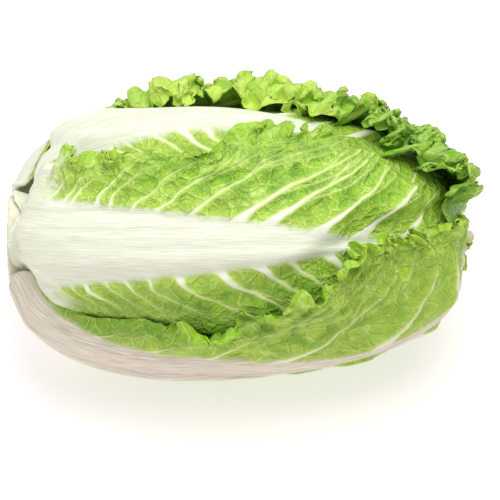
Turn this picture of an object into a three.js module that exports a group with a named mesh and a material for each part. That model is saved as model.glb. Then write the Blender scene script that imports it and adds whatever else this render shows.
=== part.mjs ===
// Napa cabbage: a whole head lying on its side, stem end at -X and leaf tips at +X.
//
// The head is a stack of separate leaves round a stem core. Its outer surface is a solid of
// revolution about X whose base half and tip half are superellipses. A point of any leaf is given
// by a direction from the middle of the head and a depth under that surface, so leaves at
// different depths never meet. Each leaf hides under the leaves that grew outside it: its depth
// is the room that those leaves take up at the same place.
//
// Leaf outlines are drawn in leaf coordinates on a capsule inside the head: `along` follows the
// midrib from the base pole over the barrel to the tip, and `across` is the distance to its side.

import * as THREE from 'three';

// Driving dimensions, in millimetres and degrees.

// The head
const GIRTH_RADIUS = 86;
const BASE_REACH = 136;
const BASE_FULLNESS = 2.55;
const TIP_REACH = 158;
const TIP_FULLNESS = 2.4;
const CHART_RADIUS = 80;
const REST_PRESS = 3;

// The stem core
const STUMP_CUT = 130;
const STUMP_RADIUS = 28;
const CORE_LENGTH = 66;
const CORE_TIP_RADIUS = 7;
const CORE_SIDES = 32;
const CORE_CLEARANCE = 2;
const BASE_STEP = 0.5;

// A leaf's section
const BLADE_THICKNESS = 1.6;
const BASE_GAP = 3.8;
const LEAF_GAP = 4.6;
const HEART_GAP = 6.4;
const RIB_TIP_THICKNESS = 0.8;
const RIB_TIP_HALF_WIDTH = 4.5;
const RIB_START = 50;
const RIB_END = 265;

// How a leaf lies over the next one
const MARGIN_CLEARANCE = 7;
const OUTER_SLOPE = { base: 18, crown: 22 };
const INNER_BASE_SLOPE = 50;
const FRILL_LIFT = 4;
const FRILL_WIDTH = 22;
const FRILL_START = 190;

// A leaf's outline
const PETIOLE_STATION = 45;
const TIP_ROUNDING = 0.95;

// Outer leaves, from the outermost in: the angle of the midrib about X, from the front towards
// the top, the half width at the base, the waist and the crown, how far up its stem part the
// waist lies, and how far past the tip's pole the leaf ends (short of the pole below 0).
const OUTER_LEAVES = [
  { turn: -23, base: 32, waist: 44, crown: 90, waistShare: 0.5, past: 3 },
  { turn: 178, base: 40, waist: 68, crown: 95, waistShare: 0.5, past: 24 },
  { turn: 45, base: 54, waist: 58, crown: 86, waistShare: 0.5, past: -20 },
  { turn: -90, base: 42, waist: 60, crown: 84, waistShare: 0.55, past: -23 },
  { turn: 112, base: 44, waist: 62, crown: 84, waistShare: 0.55, past: -33 },
];
const OUTER_RIB = { thick: 6, half: 31 };

// Inner leaves follow round the stem by the golden angle, wider and wider wrapped.
const GOLDEN_ANGLE = 137.5;
const INNER_PAST = -11;
const PAST_STEP = 2.6;
const WRAPPER_COUNT = 10;
const WRAPPER = { base: 30, waist: 64, crown: 76, waistShare: 0.55 };
const WRAPPER_RIB = { thick: 3.5, half: 22 };
const HEART_COUNT = 6;
const HEART = { base: 30, waist: 74, crown: 80, waistShare: 0.55 };
const HEART_RIB = { thick: 2, half: 18 };

// Mesh steps: along the leaf below its shoulder, round its tip, and across one side.
const ROW_CROWDING = 1.4;
const OUTER_STEPS = { stem: 10, tip: 4, rib: 2, blade: 4 };
const INNER_STEPS = { stem: 10, tip: 4, rib: 1, blade: 4 };

// Colours
const RIB_WHITE = 0xf4f6e6;
const OUTER_GREEN = 0xa4c850;
const HEART_YELLOW = 0xdfe79a;
const SOFT_ROUGHNESS = 0.5;

const BASE_CENTRE = CHART_RADIUS - BASE_REACH;
const TIP_CENTRE = TIP_REACH - CHART_RADIUS;
const CAP_ARC = (CHART_RADIUS * Math.PI) / 2;
const BARREL = TIP_CENTRE - BASE_CENTRE;
const POLE_TO_POLE = 2 * CAP_ARC + BARREL;

const radians = THREE.MathUtils.degToRad;
const { clamp, lerp, smootherstep } = THREE.MathUtils;

// Unit vectors square to the head's axis: out through the midrib, and to the leaf's side.
function leafAxes(leaf) {
  const turn = radians(leaf.turn);
  const out = new THREE.Vector3(0, -Math.cos(turn), Math.sin(turn));
  const side = new THREE.Vector3(0, Math.sin(turn), Math.cos(turn));
  return { out, side };
}

// The capsule's point at a leaf's own coordinates.
function capsulePoint(leaf, along, across) {
  const { out, side } = leafAxes(leaf);
  const swing = across / CHART_RADIUS;
  const beyond = along - CAP_ARC;
  const tilt = (beyond < 0 ? beyond : Math.max(0, beyond - BARREL)) / CHART_RADIUS;
  const centre = BASE_CENTRE + clamp(beyond, 0, BARREL);
  return new THREE.Vector3(centre, 0, 0)
    .addScaledVector(out, CHART_RADIUS * Math.cos(swing) * Math.cos(tilt))
    .addScaledVector(new THREE.Vector3(1, 0, 0), CHART_RADIUS * Math.cos(swing) * Math.sin(tilt))
    .addScaledVector(side, CHART_RADIUS * Math.sin(swing));
}

// A leaf's own coordinates at a point of the capsule.
function leafCoordinates(leaf, point) {
  const { out, side } = leafAxes(leaf);
  const centre = clamp(point.x, BASE_CENTRE, TIP_CENTRE);
  const lean = (point.x - centre) / CHART_RADIUS;
  const outward = point.dot(out) / CHART_RADIUS;
  const sideways = clamp(point.dot(side) / CHART_RADIUS, -1, 1);
  if (lean === 0) {
    const across = CHART_RADIUS * Math.atan2(sideways, outward);
    return { along: CAP_ARC + centre - BASE_CENTRE, across };
  }
  const tilt = CHART_RADIUS * Math.atan2(lean, outward);
  const start = lean > 0 ? BARREL : 0;
  return { along: CAP_ARC + start + tilt, across: CHART_RADIUS * Math.asin(sideways) };
}

// Half the leaf's width: base to waist to crown, in smooth steps.
function halfWidth(leaf, along) {
  const toWaist = smootherstep(along, PETIOLE_STATION, leaf.waistStation);
  const toCrown = smootherstep(along, leaf.waistStation, leaf.shoulder);
  return leaf.base + (leaf.waist - leaf.base) * toWaist + (leaf.crown - leaf.waist) * toCrown;
}

// How far a place lies outside the leaf's margin; negative inside it.
function pastMargin(leaf, { along, across }) {
  if (along <= leaf.shoulder) {
    return Math.max(Math.abs(across) - halfWidth(leaf, along), -along);
  }
  const tipLength = leaf.reach - leaf.shoulder;
  const share = Math.hypot((along - leaf.shoulder) / tipLength, across / leaf.crown);
  return (share - 1) * Math.min(tipLength, leaf.crown);
}

// Share of the way along the rib, and its half width there.
function ribShare(along) {
  return clamp((along - RIB_START) / (RIB_END - RIB_START), 0, 1);
}

function ribHalfWidth(leaf, along) {
  return lerp(leaf.rib.half, RIB_TIP_HALF_WIDTH, ribShare(along));
}

// The rib's own thickness: full at its middle, fading out at its edges.
function ribThickness(leaf, { along, across }) {
  const full = lerp(leaf.rib.thick, RIB_TIP_THICKNESS, ribShare(along));
  return full * (1 - smootherstep(Math.abs(across), 0, ribHalfWidth(leaf, along) + MARGIN_CLEARANCE));
}

// How far a place has come from the tight base (0) to the open blade (1).
function opening(leaf, { along }) {
  return smootherstep(along, PETIOLE_STATION, leaf.waistStation);
}

// How fully a leaf lies over a place: 1 inside its margin, falling to 0 past it.
function cover(leaf, place) {
  const slope = lerp(leaf.slope.base, leaf.slope.crown, opening(leaf, place));
  return 1 - smootherstep(pastMargin(leaf, place), MARGIN_CLEARANCE, MARGIN_CLEARANCE + slope);
}

// The room that a leaf takes up at a point, with the gap under it.
function room(leaf, point) {
  const place = leafCoordinates(leaf, point);
  const gap = lerp(BASE_GAP, leaf.gap, opening(leaf, place));
  return cover(leaf, place) * (BLADE_THICKNESS + gap + ribThickness(leaf, place));
}

// Depth of a leaf's outer face, and how far it is hidden under the leaves outside it.
function layerAt(leaves, order, point) {
  let depth = 0;
  let hidden = 0;
  for (const outer of leaves.slice(0, order)) {
    depth += room(outer, point);
    hidden = Math.max(hidden, cover(outer, leafCoordinates(outer, point)));
  }
  return { depth, hidden };
}

// Radius of the head in a direction, at a depth under its surface.
function headRadius(direction, depth) {
  const isTip = direction.x > 0;
  const reach = (isTip ? TIP_REACH : BASE_REACH) - depth;
  const power = isTip ? TIP_FULLNESS : BASE_FULLNESS;
  const lengthwise = Math.abs(direction.x) / reach;
  const sideways = Math.hypot(direction.y, direction.z) / (GIRTH_RADIUS - depth);
  return (lengthwise ** power + sideways ** power) ** (-1 / power);
}

// The point of the head at a depth. Where the head rests, every layer is pressed in alike.
function headPoint(capsule, depth) {
  const direction = capsule.clone().normalize();
  const floor = GIRTH_RADIUS - REST_PRESS;
  const downward = Math.max(-direction.z, Number.EPSILON);
  const pressed = Math.max(0, headRadius(direction, 0) - floor / downward);
  return direction.multiplyScalar(headRadius(direction, depth) - pressed);
}

// Radius of the stem core at a place along the head.
function coreRadius(x) {
  const share = clamp((x + STUMP_CUT) / CORE_LENGTH, 0, 1);
  return lerp(STUMP_RADIUS, CORE_TIP_RADIUS, share);
}

// How far the inner face of a leaf's midrib stands off the core.
function coreGap(leaves, order, along) {
  const capsule = capsulePoint(leaves[order], along, 0);
  const thickness = BLADE_THICKNESS + ribThickness(leaves[order], { along, across: 0 });
  const inner = headPoint(capsule, layerAt(leaves, order, capsule).depth + thickness);
  return Math.hypot(inner.y, inner.z) - coreRadius(inner.x);
}

// Where a leaf's midrib meets the core, found by walking down it from the barrel.
function baseStation(leaves, order) {
  let along = CAP_ARC;
  while (coreGap(leaves, order, along - BASE_STEP) > CORE_CLEARANCE) {
    along -= BASE_STEP;
  }
  return along;
}

// Stations across the leaf, as shares of its half width: closer together over the rib.
function acrossShares(leaf, along) {
  const { rib, blade } = leaf.steps;
  const ribEdge = Math.min(0.8, ribHalfWidth(leaf, along) / halfWidth(leaf, along));
  const shares = [0];
  for (let step = 1; step <= rib; step += 1) {
    shares.push((ribEdge * step) / rib);
  }
  for (let step = 1; step <= blade; step += 1) {
    shares.push(lerp(ribEdge, 1, step / blade));
  }
  const mirrored = shares.slice(1).reverse().map((share) => -share);
  return [...mirrored, ...shares];
}

// Rows of leaf coordinates: straight rows up to the shoulder, then rows that round the tip.
function outlineRows(leaf, start) {
  const rows = [];
  for (let step = 0; step <= leaf.steps.stem; step += 1) {
    const along = lerp(start, leaf.shoulder, (step / leaf.steps.stem) ** ROW_CROWDING);
    const shares = acrossShares(leaf, along);
    rows.push(shares.map((share) => ({ along, across: share * halfWidth(leaf, along) })));
  }
  const shares = acrossShares(leaf, leaf.shoulder);
  for (let step = 1; step <= leaf.steps.tip; step += 1) {
    const rise = step / leaf.steps.tip;
    rows.push(shares.map((share) => ({
      along: leaf.shoulder + (leaf.reach - leaf.shoulder) * rise * Math.sqrt(1 - share ** 2 / 2),
      across: share * leaf.crown * Math.sqrt(1 - rise ** 2 / 2),
    })));
  }
  return rows;
}

// The outer and the inner point of a leaf at a place. A free margin near the tip lifts outwards.
function leafPoints(leaves, order, place) {
  const leaf = leaves[order];
  const capsule = capsulePoint(leaf, place.along, place.across);
  const { depth, hidden } = layerAt(leaves, order, capsule);
  const nearMargin = smootherstep(pastMargin(leaf, place), -FRILL_WIDTH, 0);
  const nearTip = smootherstep(place.along, FRILL_START, leaf.shoulder);
  const outer = depth - FRILL_LIFT * nearMargin * nearTip * (1 - hidden);
  const inner = outer + BLADE_THICKNESS + ribThickness(leaf, place);
  return [headPoint(capsule, outer), headPoint(capsule, inner)];
}

// A closed shell from a grid of outer and inner points.
function shellGeometry(rows) {
  const count = rows.length;
  const width = rows[0].length;
  const face = count * width;
  const positions = [0, 1].flatMap((layer) => rows.flat().flatMap((pair) => pair[layer].toArray()));
  const indices = [];
  const quad = (a, b, c, d) => indices.push(a, b, c, a, c, d);
  for (let row = 0; row < count - 1; row += 1) {
    for (let column = 0; column < width - 1; column += 1) {
      const corner = row * width + column;
      quad(corner, corner + width, corner + width + 1, corner + 1);
      quad(face + corner, face + corner + 1, face + corner + width + 1, face + corner + width);
    }
    const left = row * width;
    const right = left + width - 1;
    quad(left, face + left, face + left + width, left + width);
    quad(right, right + width, face + right + width, face + right);
  }
  for (let column = 0; column < width - 1; column += 1) {
    const top = (count - 1) * width + column;
    quad(column, column + 1, face + column + 1, face + column);
    quad(top, face + top, face + top + 1, top + 1);
  }
  const geometry = new THREE.BufferGeometry();
  geometry.setAttribute('position', new THREE.Float32BufferAttribute(positions, 3));
  geometry.setIndex(indices);
  geometry.computeVertexNormals();
  return geometry;
}

function leafMesh(leaves, order) {
  const leaf = leaves[order];
  const rows = outlineRows(leaf, baseStation(leaves, order))
    .map((row) => row.map((place) => leafPoints(leaves, order, place)));
  const green = new THREE.Color(OUTER_GREEN);
  const color = green.lerp(new THREE.Color(HEART_YELLOW), order / (leaves.length - 1));
  const material = new THREE.MeshStandardMaterial({ color, roughness: SOFT_ROUGHNESS, metalness: 0 });
  const mesh = new THREE.Mesh(shellGeometry(rows), material);
  mesh.name = leaf.name;
  return mesh;
}

// The stem core: a blunt cone from the cut face to the growing point.
function coreMesh() {
  const profile = [
    new THREE.Vector2(0, -STUMP_CUT),
    new THREE.Vector2(STUMP_RADIUS, -STUMP_CUT),
    new THREE.Vector2(CORE_TIP_RADIUS, CORE_LENGTH - STUMP_CUT),
    new THREE.Vector2(0, CORE_LENGTH - STUMP_CUT + CORE_TIP_RADIUS),
  ];
  const geometry = new THREE.LatheGeometry(profile, CORE_SIDES);
  geometry.rotateZ(-Math.PI / 2);
  const material = new THREE.MeshStandardMaterial({
    color: RIB_WHITE, roughness: SOFT_ROUGHNESS, metalness: 0,
  });
  const mesh = new THREE.Mesh(geometry, material);
  mesh.name = 'stem_core';
  return mesh;
}

// Adds where along the leaf its tip ends, its shoulder begins to round off and its waist lies.
function withStations(leaf) {
  const reach = POLE_TO_POLE + leaf.past;
  const shoulder = reach - TIP_ROUNDING * leaf.crown;
  return { ...leaf, reach, shoulder, waistStation: leaf.waistShare * shoulder };
}

// Every leaf from the outermost in, with its name, place round the stem, gap and mesh steps.
// An inner leaf's cover fades out by a quarter turn from its midrib.
function leafList() {
  const leaves = OUTER_LEAVES.map((leaf, index) => ({
    ...leaf, name: `outer_leaf_${index + 1}`, rib: OUTER_RIB, gap: LEAF_GAP, slope: OUTER_SLOPE,
    steps: OUTER_STEPS,
  }));
  const follow = (count, shape, name) => {
    for (let index = 1; index <= count; index += 1) {
      const turn = leaves.at(-1).turn - GOLDEN_ANGLE;
      const past = INNER_PAST - PAST_STEP * (leaves.length - OUTER_LEAVES.length);
      const slope = { base: INNER_BASE_SLOPE, crown: CAP_ARC - MARGIN_CLEARANCE - shape.crown };
      leaves.push({ ...shape, turn, past, slope, name: `${name}_${index}` });
    }
  };
  const wrapper = { ...WRAPPER, rib: WRAPPER_RIB, gap: LEAF_GAP, steps: INNER_STEPS };
  const heart = { ...HEART, rib: HEART_RIB, gap: HEART_GAP, steps: INNER_STEPS };
  follow(WRAPPER_COUNT, wrapper, 'wrapping_leaf');
  follow(HEART_COUNT, heart, 'heart_leaf');
  return leaves.map(withStations);
}

// The head, moved so that the origin is under the middle of its box, on the surface it rests on.
function napaCabbage() {
  const head = new THREE.Group();
  head.name = 'napa_cabbage';
  const leaves = leafList();
  head.add(coreMesh(), ...leaves.map((leaf, order) => leafMesh(leaves, order)));
  const box = new THREE.Box3().setFromObject(head);
  const middle = box.getCenter(new THREE.Vector3());
  head.position.set(-middle.x, -middle.y, -box.min.z);
  return head;
}

export default napaCabbage();
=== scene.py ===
"""Napa cabbage: the looks of a whole head of leaves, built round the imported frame.

The head lies on its side with its stem end at -X. Leaf shapes are worked out in millimetres in the
head's own frame, whose origin is at the head's widest section on its axis, and are carried to the
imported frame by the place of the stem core.

A place on a leaf is given by `along`, the way up its midrib, and `across`, the way to its side.
Both are lengths on a capsule inside the head. A ray from the head's middle through a point of the
capsule meets every layer of the head, so a leaf is a depth under the head's surface for each place.
"""

import logging
import math
from dataclasses import dataclass, field
from enum import Enum

import bpy
import numpy as np
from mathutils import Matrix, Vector


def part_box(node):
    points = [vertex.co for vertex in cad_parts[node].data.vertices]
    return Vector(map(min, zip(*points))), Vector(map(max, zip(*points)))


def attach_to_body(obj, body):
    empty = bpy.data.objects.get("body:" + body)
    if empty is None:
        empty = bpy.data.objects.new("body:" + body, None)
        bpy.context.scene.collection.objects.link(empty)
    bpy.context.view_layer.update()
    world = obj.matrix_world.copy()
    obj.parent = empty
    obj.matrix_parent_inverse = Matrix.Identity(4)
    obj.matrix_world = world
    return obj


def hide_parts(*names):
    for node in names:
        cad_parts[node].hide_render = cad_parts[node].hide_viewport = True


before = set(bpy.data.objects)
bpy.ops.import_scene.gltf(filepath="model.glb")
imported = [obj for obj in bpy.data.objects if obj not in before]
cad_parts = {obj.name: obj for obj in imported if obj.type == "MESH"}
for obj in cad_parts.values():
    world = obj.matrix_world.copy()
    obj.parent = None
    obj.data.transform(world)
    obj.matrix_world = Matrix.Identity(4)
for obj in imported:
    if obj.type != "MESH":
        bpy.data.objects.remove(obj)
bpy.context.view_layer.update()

log = logging.getLogger("napa_cabbage")

MM = 0.001
DECIMETRE = 100.0
MEASURES = ("rib_edge", "vein_edge", "margin", "along", "fold")
Array = np.ndarray
Colour = tuple[float, float, float]


def smooth(x: Array | float, low: float, high: float) -> Array | float:
    """Rise from 0 at low to 1 at high, with flat ends: 6t^5 - 15t^4 + 10t^3."""
    t = np.clip((np.asarray(x, dtype=float) - low) / (high - low), 0.0, 1.0)
    return t * t * t * (t * (6.0 * t - 15.0) + 10.0)


def mix(a: Array | float, b: Array | float, share: Array | float) -> Array | float:
    """Blend a into b by a share from 0 to 1."""
    return a + (b - a) * share


def hashed(ix: Array, iy: Array, seed: int) -> Array:
    """Pseudo-random numbers from -1 to 1, fixed for each whole-numbered cell and seed.

    The cell's numbers and the seed are multiplied by large primes and their bits stirred.

    Args:
        ix: cell numbers in one direction.
        iy: cell numbers in the other.
        seed: chooses one set of numbers.

    Returns:
        One number for each cell.
    """
    h = ix.astype(np.int64).astype(np.uint32) * np.uint32(374761393)
    h = h + iy.astype(np.int64).astype(np.uint32) * np.uint32(668265263)
    h = h + np.uint32((seed * 974711 + 1013904223) % 2**32)
    h = (h ^ (h >> np.uint32(13))) * np.uint32(1274126177)
    h = (h ^ (h >> np.uint32(15))) * np.uint32(2246822519)
    h = h ^ (h >> np.uint32(16))
    return h.astype(float) / 2147483647.5 - 1.0


def noise(x: Array, y: Array | float, seed: int) -> Array:
    """Smooth noise in two dimensions from about -1 to 1, one bump to a unit cell.

    Random values on the corners of unit cells are blended with the smooth step in each direction.

    Args:
        x: places in one direction.
        y: places in the other.
        seed: chooses one noise.

    Returns:
        The noise at each place.
    """
    x, y = np.broadcast_arrays(np.asarray(x, dtype=float), np.asarray(y, dtype=float))
    ix = np.floor(x)
    iy = np.floor(y)
    tx = smooth(x - ix, 0.0, 1.0)
    ty = smooth(y - iy, 0.0, 1.0)
    low = mix(hashed(ix, iy, seed), hashed(ix + 1, iy, seed), tx)
    high = mix(hashed(ix, iy + 1, seed), hashed(ix + 1, iy + 1, seed), tx)
    return mix(low, high, ty)


def layered_noise(x: Array, y: Array | float, seed: int, octaves: int = 3) -> Array:
    """Sum of noises, each twice as fine and half as strong as the one before.

    Args:
        x: places in one direction.
        y: places in the other.
        seed: chooses the noises.
        octaves: how many noises there are.

    Returns:
        The sum at each place.
    """
    total = 0.0
    for octave in range(octaves):
        scale = 2.0**octave
        total = total + noise(x * scale, y * scale, seed + octave) / scale
    return total


def unit(vectors: Array) -> Array:
    """Vectors along the last axis brought to length 1."""
    return vectors / np.maximum(np.linalg.norm(vectors, axis=-1, keepdims=True), 1e-9)


@dataclass(frozen=True)
class HeadForm:
    """The head's outer surface and the capsule that leaf outlines are drawn on, in millimetres.

    The surface is a solid of revolution about X. Its base half and its tip half are superellipses:
    |x / reach|^p + (r / girth)^p = 1.
    """

    girth: float = 86.0
    base_reach: float = 136.0
    base_fullness: float = 2.55
    tip_reach: float = 158.0
    tip_fullness: float = 2.4
    chart_radius: float = 80.0
    rest_press: float = 3.0

    @property
    def base_centre(self) -> float:
        """Where the capsule's base cap is centred."""
        return self.chart_radius - self.base_reach

    @property
    def tip_centre(self) -> float:
        """Where the capsule's tip cap is centred."""
        return self.tip_reach - self.chart_radius

    @property
    def cap_arc(self) -> float:
        """Length of a quarter turn of the capsule's cap."""
        return self.chart_radius * math.pi / 2.0

    @property
    def barrel(self) -> float:
        """Length of the capsule's straight middle."""
        return self.tip_centre - self.base_centre

    @property
    def pole_to_pole(self) -> float:
        """Length over the capsule from its base pole to its tip pole."""
        return 2.0 * self.cap_arc + self.barrel

    @property
    def floor(self) -> float:
        """Height of the surface that the head rests on."""
        return self.rest_press - self.girth

    def radius(self, direction: Array, depth: Array) -> Array:
        """Distance from the middle to a layer of the head.

        Args:
            direction: unit vectors from the head's middle.
            depth: depth of the layer under the head's surface.

        Returns:
            The superellipse's radius in each direction, with both its reaches less the depth.
        """
        is_tip = direction[..., 0] > 0.0
        reach = np.where(is_tip, self.tip_reach, self.base_reach) - depth
        power = np.where(is_tip, self.tip_fullness, self.base_fullness)
        lengthwise = np.abs(direction[..., 0]) / reach
        sideways = np.hypot(direction[..., 1], direction[..., 2]) / (self.girth - depth)
        return (lengthwise**power + sideways**power) ** (-1.0 / power)

    def layer_point(self, capsule: Array, depth: Array) -> Array:
        """Points of a layer on the rays through capsule points, pressed in where the head rests.

        Every layer is pressed in by as much as the surface would go below the floor on that ray.

        Args:
            capsule: points on the capsule.
            depth: depth of the layer at each.

        Returns:
            The layer's points.
        """
        direction = unit(capsule)
        downward = np.maximum(-direction[..., 2], 1e-6)
        pressed = np.maximum(0.0, self.radius(direction, 0.0 * depth) + self.floor / downward)
        return direction * (self.radius(direction, depth) - pressed)[..., None]


@dataclass(frozen=True)
class Outline:
    """A leaf's place round the stem and its outline, in millimetres and degrees.

    turn is the midrib's angle about X, from the front towards the top. The half width goes in
    smooth steps from base to waist to crown, and the tip is half an ellipse that ends at reach.
    """

    turn: float
    base: float
    waist: float
    crown: float
    reach: float
    rib_thick: float
    rib_half: float
    gap: float
    base_slope: float
    crown_slope: float
    blade: float = 1.6
    rib_tip_thick: float = 0.8
    rib_tip_half: float = 4.5
    rib_start: float = 50.0
    rib_end: float = 265.0
    petiole: float = 45.0
    waist_share: float = 0.55
    rounding: float = 0.95
    margin_clearance: float = 7.0
    base_gap: float = 3.8

    @property
    def shoulder(self) -> float:
        """Where the leaf stops widening and its tip begins to round off."""
        return self.reach - self.rounding * self.crown

    def axes(self) -> tuple[Array, Array]:
        """Directions of the leaf, square to the head's axis.

        Returns:
            Unit vectors out through the midrib and to the leaf's side.
        """
        turn = math.radians(self.turn)
        out = np.array([0.0, -math.cos(turn), math.sin(turn)])
        side = np.array([0.0, math.sin(turn), math.cos(turn)])
        return out, side

    def capsule_point(self, form: HeadForm, along: Array, across: Array) -> Array:
        """Points of the capsule at places on the leaf.

        Along the barrel, `along` moves down the axis; past either end it tilts the ray over the
        cap. `across` swings the ray to the leaf's side.

        Args:
            form: the head's form.
            along: places along the leaf.
            across: places across it.

        Returns:
            The points.
        """
        out, side = self.axes()
        swing = across / form.chart_radius
        beyond = along - form.cap_arc
        tilt = np.where(beyond < 0.0, beyond, np.maximum(0.0, beyond - form.barrel))
        tilt = tilt / form.chart_radius
        centre = form.base_centre + np.clip(beyond, 0.0, form.barrel)
        upright = (form.chart_radius * np.cos(swing))[..., None]
        lengthwise = np.sin(tilt)[..., None] * np.array([1.0, 0.0, 0.0])
        ray = upright * (np.cos(tilt)[..., None] * out + lengthwise)
        ray = ray + (form.chart_radius * np.sin(swing))[..., None] * side
        ray[..., 0] += centre
        return ray

    def place_of(self, form: HeadForm, capsule: Array) -> tuple[Array, Array]:
        """The leaf's own along and across at points of the capsule; undoes capsule_point.

        Args:
            form: the head's form.
            capsule: points on the capsule.

        Returns:
            The places along and across, one array each.
        """
        out, side = self.axes()
        centre = np.clip(capsule[..., 0], form.base_centre, form.tip_centre)
        lean = (capsule[..., 0] - centre) / form.chart_radius
        outward = capsule @ out / form.chart_radius
        sideways = np.clip(capsule @ side / form.chart_radius, -1.0, 1.0)
        on_barrel = np.abs(lean) < 1e-9
        tilt = np.where(on_barrel, 0.0, np.arctan2(lean, outward)) * form.chart_radius
        start = np.where(on_barrel, centre - form.base_centre, np.where(lean > 0, form.barrel, 0.0))
        swing = np.where(on_barrel, np.arctan2(sideways, outward), np.arcsin(sideways))
        return form.cap_arc + start + tilt, swing * form.chart_radius

    def opening(self, along: Array) -> Array:
        """Share of the way from the leaf's stalk to its waist."""
        return smooth(along, self.petiole, self.waist_share * self.shoulder)

    def half_width(self, along: Array) -> Array:
        """Half the leaf's width: from base to waist, then from waist to crown, in smooth steps.

        Args:
            along: places along the leaf.

        Returns:
            Half the width at each.
        """
        to_crown = smooth(along, self.waist_share * self.shoulder, self.shoulder)
        widening = (self.crown - self.waist) * to_crown
        return self.base + (self.waist - self.base) * self.opening(along) + widening

    def past_margin(self, along: Array, across: Array) -> Array:
        """How far a place lies outside the margin; negative inside the leaf.

        Up to the shoulder it is |across| less the half width, and past it the share of the tip's
        ellipse, less 1, times the ellipse's smaller half axis.

        Args:
            along: places along the leaf.
            across: places across it.

        Returns:
            The distance at each place.
        """
        tip = self.reach - self.shoulder
        beside = np.maximum(np.abs(across) - self.half_width(along), -along)
        share = np.hypot((along - self.shoulder) / tip, across / self.crown)
        return np.where(along <= self.shoulder, beside, (share - 1.0) * min(tip, self.crown))

    def rib_share(self, along: Array) -> Array:
        """Share of the way up the rib."""
        return np.clip((along - self.rib_start) / (self.rib_end - self.rib_start), 0.0, 1.0)

    def rib_half_width(self, along: Array) -> Array:
        """Half the rib's width."""
        return mix(self.rib_half, self.rib_tip_half, self.rib_share(along))

    def past_rib(self, along: Array, across: Array) -> Array:
        """How far a place lies beside the rib's edge; 0 on the rib."""
        return np.maximum(np.abs(across) - self.rib_half_width(along), 0.0)

    def rib_thickness(self, along: Array, across: Array) -> Array:
        """The rib's own thickness, full at its middle and fading out past its edges.

        Args:
            along: places along the leaf.
            across: places across it.

        Returns:
            The thickness at each place.
        """
        full = mix(self.rib_thick, self.rib_tip_thick, self.rib_share(along))
        edge = self.rib_half_width(along) + self.margin_clearance
        return full * (1.0 - smooth(np.abs(across) / edge, 0.0, 1.0))

    def cover(self, along: Array, across: Array) -> Array:
        """How fully the leaf lies over a place: 1 inside its margin, falling to 0 past it.

        Args:
            along: places along the leaf.
            across: places across it.

        Returns:
            The cover at each place.
        """
        slope = mix(self.base_slope, self.crown_slope, self.opening(along))
        past = (self.past_margin(along, across) - self.margin_clearance) / slope
        return 1.0 - smooth(past, 0.0, 1.0)

    def room(self, along: Array, across: Array) -> Array:
        """The room that the leaf takes up: its cover times blade, rib and the gap under it.

        Args:
            along: places along the leaf.
            across: places across it.

        Returns:
            The room at each place.
        """
        gap = mix(self.base_gap, self.gap, self.opening(along))
        thickness = self.blade + gap + self.rib_thickness(along, across)
        return self.cover(along, across) * thickness


@dataclass(frozen=True)
class Frill:
    """How a leaf's free margin ruffles: heights and lengths of its waves, in millimetres.

    The blade stands off by `lift` at `roll` inside the margin, so a roll above 0 turns the margin
    back down. The margin waves by `wave` and `curl`, is cut in and out by `jag`, and the blade
    next to it is crinkled by `crinkle` over the width `reach_in`. All of it grows by `rise`
    towards the tip. Near the leaf's base the margin hugs the leaf under it by `hug`. Each of
    `waves` is a wave's length and its share of the height.
    """

    lift: float = 3.0
    wave: float = 4.0
    curl: float = 2.5
    jag: float = 3.5
    crinkle: float = 1.2
    reach_in: float = 16.0
    roll: float = 0.0
    rise: float = 0.0
    start: float = 70.0
    hug: float = 3.2
    waves: tuple[tuple[float, float], ...] = ((24.0, 1.0), (11.0, 0.9), (5.6, 0.75))


@dataclass(frozen=True)
class Veins:
    """How a leaf's side veins run: their spacing, lean and relief, in millimetres.

    The spacing grows along the leaf by `spread` for each millimetre. The lean is how far a vein
    climbs along the leaf for each millimetre that it goes sideways. Each of `branches` leaves the
    vein so far from the rib, with such a share of its width, below 0 on the vein's lower side.
    """

    spacing: float = 6.5
    spread: float = 0.125
    base_lean: float = 0.6
    crown_lean: float = 1.15
    sweep: float = 0.003
    width: float = 3.8
    relief: float = 2.6
    pucker: float = 2.6
    forks: float = 0.8
    start: float = 60.0
    branches: tuple[tuple[float, float], ...] = ((0.0, 1.0), (16.0, 0.6), (30.0, -0.5))


class Detail(Enum):
    """Grid steps along and across a leaf."""

    FINE = (320, 150)
    MEDIUM = (150, 90)
    COARSE = (90, 56)


class Socket:
    """A value in a material's nodes that can be added, multiplied and compared."""

    def __init__(self, nodes: "Shader", output: bpy.types.NodeSocket) -> None:
        """Keep the node maker and the output that holds the value."""
        self.nodes = nodes
        self.output = output

    def _math(self, operation: str, *values: "Socket | float") -> "Socket":
        """Add a Math node on this value and others."""
        return self.nodes.node("ShaderNodeMath", {"operation": operation}, list(values))

    def __add__(self, other: "Socket | float") -> "Socket":
        """Sum."""
        return self._math("ADD", self, other)

    __radd__ = __add__

    def __sub__(self, other: "Socket | float") -> "Socket":
        """Difference."""
        return self._math("SUBTRACT", self, other)

    def __rsub__(self, other: "Socket | float") -> "Socket":
        """Difference the other way round."""
        return self._math("SUBTRACT", other, self)

    def __mul__(self, other: "Socket | float") -> "Socket":
        """Product."""
        return self._math("MULTIPLY", self, other)

    __rmul__ = __mul__

    def largest(self, other: "Socket | float") -> "Socket":
        """The larger of two values."""
        return self._math("MAXIMUM", self, other)

    def step(self, low: float, high: float) -> "Socket":
        """Rise smoothly from 0 to 1, or fall from 1 to 0 where low is above high.

        Args:
            low: the value that gives 0.
            high: the value that gives 1.

        Returns:
            The share.
        """
        settings = {"interpolation_type": "SMOOTHSTEP"}
        inputs = {"Value": self, "From Min": min(low, high), "From Max": max(low, high)}
        ends = {"To Min": 0.0, "To Max": 1.0} if low < high else {"To Min": 1.0, "To Max": 0.0}
        return self.nodes.node("ShaderNodeMapRange", settings, {**inputs, **ends})


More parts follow.
